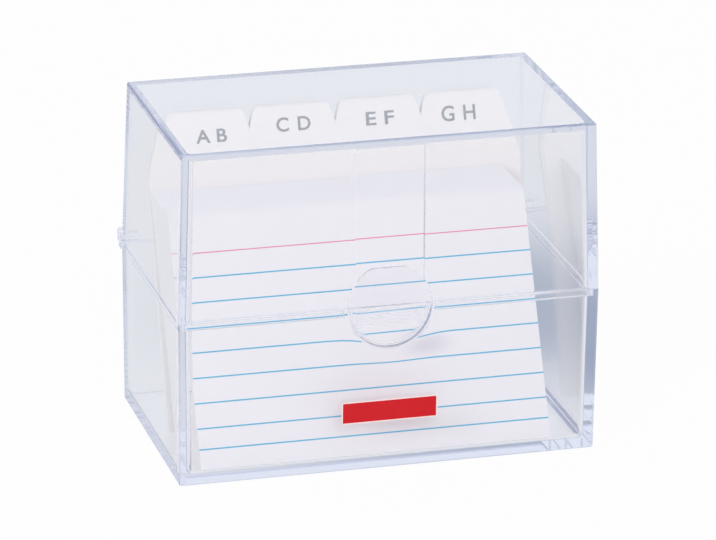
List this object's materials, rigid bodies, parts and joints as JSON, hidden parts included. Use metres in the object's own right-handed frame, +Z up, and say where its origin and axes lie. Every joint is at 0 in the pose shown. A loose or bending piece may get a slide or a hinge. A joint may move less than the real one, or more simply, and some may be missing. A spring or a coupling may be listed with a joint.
{
  "type": "index card box",
  "caption": "Clear moulded box with a hinged lid and a springy latch tongue, holding ruled index cards and tabbed alphabetical dividers that lean back.",
  "frame": {"origin": "middle of the bottom of the whole box, hinge ears and grip ribs included", "axes": "+Z up, the front with the latch faces -Y, +X to the right when seen from the front"},
  "size_m": [0.1266, 0.075, 0.0997],
  "materials": {
    "tub_plastic": "clear, polished",
    "lid_plastic": "clear, polished",
    "label": "plain, satin",
    "card": "ruled, matt",
    "divider": "matt"
  },
  "bodies": {
    "tub": {"tub": "tub_plastic", "front_label": "label"},
    "lid": {"lid": "lid_plastic"},
    "front_cards": {"front_card": "card", "card_pack_01": "card"},
    "card_pack_02": {"card_pack_02": "card"},
    "card_pack_03": {"card_pack_03": "card"},
    "card_pack_04": {"card_pack_04": "card"},
    "card_pack_05": {"card_pack_05": "card"},
    "card_pack_06": {"card_pack_06": "card"},
    "card_pack_07": {"card_pack_07": "card"},
    "card_pack_08": {"card_pack_08": "card"},
    "card_pack_09": {"card_pack_09": "card"},
    "card_pack_10": {"card_pack_10": "card"},
    "card_pack_11": {"card_pack_11": "card"},
    "divider_ab": {"divider_ab": "divider"},
    "divider_cd": {"divider_cd": "divider"},
    "divider_ef": {"divider_ef": "divider"},
    "divider_gh": {"divider_gh": "divider"},
    "divider_ij": {"divider_ij": "divider"},
    "divider_kl": {"divider_kl": "divider"},
    "divider_mn": {"divider_mn": "divider"},
    "divider_op": {"divider_op": "divider"},
    "divider_qr": {"divider_qr": "divider"},
    "divider_st": {"divider_st": "divider"},
    "divider_uv": {"divider_uv": "divider"},
    "divider_wz": {"divider_wz": "divider"}
  },
  "joints": [
    {"name": "lid_hinge", "type": "hinge", "parent": "tub", "child": "lid", "pos_m": [0, 0.03513, 0.0515], "axis": [-1, 0, 0], "range_deg": [0, 110]},
    {"name": "front_cards_tilt", "type": "hinge", "parent": "tub", "child": "front_cards", "pos_m": [0, -0.03257, 0.00268], "axis": [1, 0, 0], "range_deg": [0, 20]},
    {"name": "card_pack_02_tilt", "type": "hinge", "parent": "tub", "child": "card_pack_02", "pos_m": [0, -0.03036, 0.00268], "axis": [1, 0, 0], "range_deg": [0, 18.6]},
    {"name": "card_pack_03_tilt", "type": "hinge", "parent": "tub", "child": "card_pack_03", "pos_m": [0, -0.02837, 0.00268], "axis": [1, 0, 0], "range_deg": [0, 17.2]},
    {"name": "card_pack_04_tilt", "type": "hinge", "parent": "tub", "child": "card_pack_04", "pos_m": [0, -0.02638, 0.00268], "axis": [1, 0, 0], "range_deg": [0, 15.8]},
    {"name": "card_pack_05_tilt", "type": "hinge", "parent": "tub", "child": "card_pack_05", "pos_m": [0, -0.02438, 0.00268], "axis": [1, 0, 0], "range_deg": [0, 14.4]},
    {"name": "card_pack_06_tilt", "type": "hinge", "parent": "tub", "child": "card_pack_06", "pos_m": [0, -0.02239, 0.00268], "axis": [1, 0, 0], "range_deg": [0, 13]},
    {"name": "card_pack_07_tilt", "type": "hinge", "parent": "tub", "child": "card_pack_07", "pos_m": [0, -0.0204, 0.00268], "axis": [1, 0, 0], "range_deg": [0, 11.6]},
    {"name": "card_pack_08_tilt", "type": "hinge", "parent": "tub", "child": "card_pack_08", "pos_m": [0, -0.01841, 0.00268], "axis": [1, 0, 0], "range_deg": [0, 10.2]},
    {"name": "card_pack_09_tilt", "type": "hinge", "parent": "tub", "child": "card_pack_09", "pos_m": [0, -0.01641, 0.00268], "axis": [1, 0, 0], "range_deg": [0, 8.8]},
    {"name": "card_pack_10_tilt", "type": "hinge", "parent": "tub", "child": "card_pack_10", "pos_m": [0, -0.01442, 0.00268], "axis": [1, 0, 0], "range_deg": [0, 7.4]},
    {"name": "card_pack_11_tilt", "type": "hinge", "parent": "tub", "child": "card_pack_11", "pos_m": [0, -0.01243, 0.00268], "axis": [1, 0, 0], "range_deg": [0, 6]},
    {"name": "divider_ab_tilt", "type": "hinge", "parent": "tub", "child": "divider_ab", "pos_m": [0, -0.00223, 0.00267], "axis": [1, 0, 0], "range_deg": [0, 5]},
    {"name": "divider_cd_tilt", "type": "hinge", "parent": "tub", "child": "divider_cd", "pos_m": [0, -0.002, 0.00267], "axis": [1, 0, 0], "range_deg": [0, 4.8]},
    {"name": "divider_ef_tilt", "type": "hinge", "parent": "tub", "child": "divider_ef", "pos_m": [0, -0.00177, 0.00267], "axis": [1, 0, 0], "range_deg": [0, 4.6]},
    {"name": "divider_gh_tilt", "type": "hinge", "parent": "tub", "child": "divider_gh", "pos_m": [0, -0.00153, 0.00267], "axis": [1, 0, 0], "range_deg": [0, 4.4]},
    {"name": "divider_ij_tilt", "type": "hinge", "parent": "tub", "child": "divider_ij", "pos_m": [0, -0.0013, 0.00267], "axis": [1, 0, 0], "range_deg": [0, 4.2]},
    {"name": "divider_kl_tilt", "type": "hinge", "parent": "tub", "child": "divider_kl", "pos_m": [0, -0.00106, 0.00267], "axis": [1, 0, 0], "range_deg": [0, 4]},
    {"name": "divider_mn_tilt", "type": "hinge", "parent": "tub", "child": "divider_mn", "pos_m": [0, -0.00083, 0.00267], "axis": [1, 0, 0], "range_deg": [0, 3.8]},
    {"name": "divider_op_tilt", "type": "hinge", "parent": "tub", "child": "divider_op", "pos_m": [0, -0.0006, 0.00267], "axis": [1, 0, 0], "range_deg": [0, 3.6]},
    {"name": "divider_qr_tilt", "type": "hinge", "parent": "tub", "child": "divider_qr", "pos_m": [0, -0.00036, 0.00267], "axis": [1, 0, 0], "range_deg": [0, 3.4]},
    {"name": "divider_st_tilt", "type": "hinge", "parent": "tub", "child": "divider_st", "pos_m": [0, -0.00013, 0.00267], "axis": [1, 0, 0], "range_deg": [0, 3.2]},
    {"name": "divider_uv_tilt", "type": "hinge", "parent": "tub", "child": "divider_uv", "pos_m": [0, 0.0001, 0.00267], "axis": [1, 0, 0], "range_deg": [0, 3]},
    {"name": "divider_wz_tilt", "type": "hinge", "parent": "tub", "child": "divider_wz", "pos_m": [0, 0.00034, 0.00267], "axis": [1, 0, 0], "range_deg": [0, 2.8]}
  ],
  "couplings": [
    {"joint": "card_pack_02_tilt", "follows": "front_cards_tilt", "ratio": 0.93},
    {"joint": "card_pack_03_tilt", "follows": "front_cards_tilt", "ratio": 0.86},
    {"joint": "card_pack_04_tilt", "follows": "front_cards_tilt", "ratio": 0.79},
    {"joint": "card_pack_05_tilt", "follows": "front_cards_tilt", "ratio": 0.72},
    {"joint": "card_pack_06_tilt", "follows": "front_cards_tilt", "ratio": 0.65},
    {"joint": "card_pack_07_tilt", "follows": "front_cards_tilt", "ratio": 0.58},
    {"joint": "card_pack_08_tilt", "follows": "front_cards_tilt", "ratio": 0.51},
    {"joint": "card_pack_09_tilt", "follows": "front_cards_tilt", "ratio": 0.44},
    {"joint": "card_pack_10_tilt", "follows": "front_cards_tilt", "ratio": 0.37},
    {"joint": "card_pack_11_tilt", "follows": "front_cards_tilt", "ratio": 0.3},
    {"joint": "divider_ab_tilt", "follows": "front_cards_tilt", "ratio": 0.25},
    {"joint": "divider_cd_tilt", "follows": "front_cards_tilt", "ratio": 0.24},
    {"joint": "divider_ef_tilt", "follows": "front_cards_tilt", "ratio": 0.23},
    {"joint": "divider_gh_tilt", "follows": "front_cards_tilt", "ratio": 0.22},
    {"joint": "divider_ij_tilt", "follows": "front_cards_tilt", "ratio": 0.21},
    {"joint": "divider_kl_tilt", "follows": "front_cards_tilt", "ratio": 0.2},
    {"joint": "divider_mn_tilt", "follows": "front_cards_tilt", "ratio": 0.19},
    {"joint": "divider_op_tilt", "follows": "front_cards_tilt", "ratio": 0.18},
    {"joint": "divider_qr_tilt", "follows": "front_cards_tilt", "ratio": 0.17},
    {"joint": "divider_st_tilt", "follows": "front_cards_tilt", "ratio": 0.16},
    {"joint": "divider_uv_tilt", "follows": "front_cards_tilt", "ratio": 0.15},
    {"joint": "divider_wz_tilt", "follows": "front_cards_tilt", "ratio": 0.14}
  ]
}
